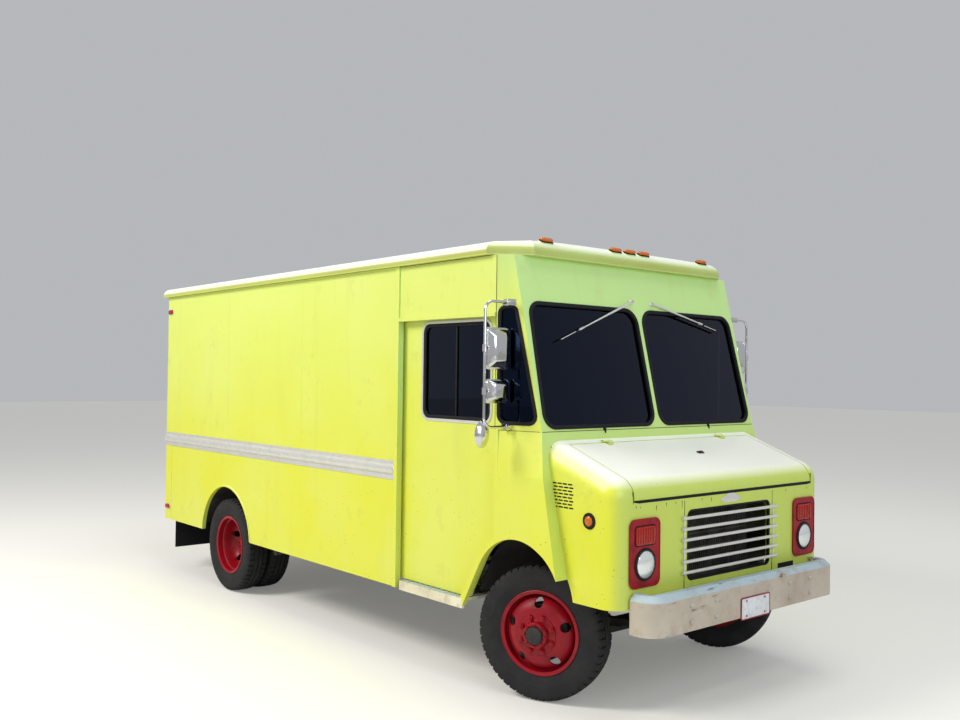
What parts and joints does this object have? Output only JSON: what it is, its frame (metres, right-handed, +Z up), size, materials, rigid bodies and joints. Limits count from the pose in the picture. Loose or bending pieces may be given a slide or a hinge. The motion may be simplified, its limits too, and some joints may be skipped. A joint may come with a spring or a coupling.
{
  "type": "step van for a food truck",
  "caption": "Old walk-in step van with a blunt nose, sliding cab doors, two-leaf rear doors and steered front wheels.",
  "frame": {"origin": "on the ground below the middle of the van's box, mirrors, bumper and rear step included", "axes": "+Y towards the rear, front towards -Y, +X the driver's left, +Z up"},
  "size_m": [2.889, 6.455, 2.949],
  "materials": {
    "lime_paint": "gloss",
    "floor_paint": "satin",
    "cream_paint": "satin",
    "chassis_black": "matt",
    "cast_metal": "rough",
    "red_paint": "gloss",
    "bright_metal": "satin",
    "chrome": "polished",
    "window_glass": "clear",
    "lamp_glass": "clear",
    "amber_lens": "gloss",
    "red_lens": "gloss",
    "tyre": "matt",
    "flap_rubber": "matt",
    "black_plastic": "matt",
    "seat_vinyl": "satin"
  },
  "bodies": {
    "body": {"amber_lamps": "amber_lens", "cab_floor": "floor_paint", "cab_front": "lime_paint", "cab_glass": "window_glass", "cowl_sides": "lime_paint", "dashboard": "black_plastic", "door_headers": "lime_paint", "engine_block": "cast_metal", "exhaust": "cast_metal", "firewall": "floor_paint", "floor": "floor_paint", "frame": "chassis_black", "front_axle": "chassis_black", "front_bumper": "cream_paint", "front_wheelhouses": "chassis_black", "fuel_tank": "chassis_black", "grille": "bright_metal", "headlamp_bezels": "red_paint", "headlamps": "lamp_glass", "leaf_springs": "chassis_black", "left_side_panel": "lime_paint", "mirrors": "chrome", "mud_flaps": "flap_rubber", "nose": "lime_paint", "propshaft": "chassis_black", "radiator": "cast_metal", "rear_axle": "chassis_black", "rear_frame": "lime_paint", "rear_lamps": "red_lens", "rear_step": "cream_paint", "rear_wheelhouses": "chassis_black", "right_side_panel": "lime_paint", "roof": "lime_paint", "rub_rails": "bright_metal", "seat_cushions": "seat_vinyl", "seat_frame": "chassis_black", "steering_wheel": "black_plastic", "step_boards": "cream_paint"},
    "hood": {"hood": "lime_paint"},
    "right_door": {"right_door": "lime_paint", "right_door_glass": "window_glass"},
    "left_door": {"left_door": "lime_paint", "left_door_glass": "window_glass"},
    "right_rear_door": {"right_rear_door": "lime_paint", "right_rear_glass": "window_glass"},
    "left_rear_door": {"left_rear_door": "lime_paint", "left_rear_glass": "window_glass"},
    "right_knuckle": {"right_knuckle": "chassis_black"},
    "left_knuckle": {"left_knuckle": "chassis_black"},
    "tie_rod": {"tie_rod": "chassis_black"},
    "front_right_wheel": {"front_right_tyre": "tyre", "front_right_wheel": "red_paint"},
    "front_left_wheel": {"front_left_tyre": "tyre", "front_left_wheel": "red_paint"},
    "rear_right_wheels": {"rear_right_tyres": "tyre", "rear_right_wheels": "red_paint"},
    "rear_left_wheels": {"rear_left_tyres": "tyre", "rear_left_wheels": "red_paint"}
  },
  "joints": [
    {"name": "hood_hinge", "type": "hinge", "parent": "body", "child": "hood", "pos_m": [0, -2.524, 1.6212], "axis": [-1, 0, 0], "range_deg": [0, 55]},
    {"name": "right_door_slide", "type": "slide", "parent": "body", "child": "right_door", "axis": [0, 1, 0], "range_m": [0, 1]},
    {"name": "left_door_slide", "type": "slide", "parent": "body", "child": "left_door", "axis": [0, 1, 0], "range_m": [0, 1]},
    {"name": "right_rear_door_hinge", "type": "hinge", "parent": "body", "child": "right_rear_door", "pos_m": [-0.708, 3.1025, 1.6], "axis": [0, 0, 1], "range_deg": [0, 110]},
    {"name": "left_rear_door_hinge", "type": "hinge", "parent": "body", "child": "left_rear_door", "pos_m": [0.708, 3.1025, 1.6], "axis": [0, 0, -1], "range_deg": [0, 110]},
    {"name": "right_steer", "type": "hinge", "parent": "body", "child": "right_knuckle", "pos_m": [-0.88, -2.2925, 0.425], "axis": [0, 0, 1], "range_deg": [-52, 8]},
    {"name": "left_steer", "type": "hinge", "parent": "body", "child": "left_knuckle", "pos_m": [0.88, -2.2925, 0.425], "axis": [0, 0, 1], "range_deg": [-52, 8]},
    {"name": "tie_rod_pivot", "type": "hinge", "parent": "right_knuckle", "child": "tie_rod", "pos_m": [-0.93994, -2.14415, 0.336], "axis": [0, 0, 1], "range_deg": [-8, 52]},
    {"name": "front_right_roll", "type": "hinge", "parent": "right_knuckle", "child": "front_right_wheel", "pos_m": [-0.88, -2.2925, 0.425], "axis": [-0.9272, -0.3746, 0], "continuous": true},
    {"name": "front_left_roll", "type": "hinge", "parent": "left_knuckle", "child": "front_left_wheel", "pos_m": [0.88, -2.2925, 0.425], "axis": [0.9272, 0.3746, 0], "continuous": true},
    {"name": "rear_right_roll", "type": "hinge", "parent": "body", "child": "rear_right_wheels", "pos_m": [-0.95, 1.6655, 0.425], "axis": [1, 0, 0], "continuous": true},
    {"name": "rear_left_roll", "type": "hinge", "parent": "body", "child": "rear_left_wheels", "pos_m": [0.95, 1.6655, 0.425], "axis": [1, 0, 0], "continuous": true}
  ],
  "couplings": [
    {"joint": "left_steer", "follows": "right_steer", "ratio": 1},
    {"joint": "tie_rod_pivot", "follows": "right_steer", "ratio": -1}
  ]
}
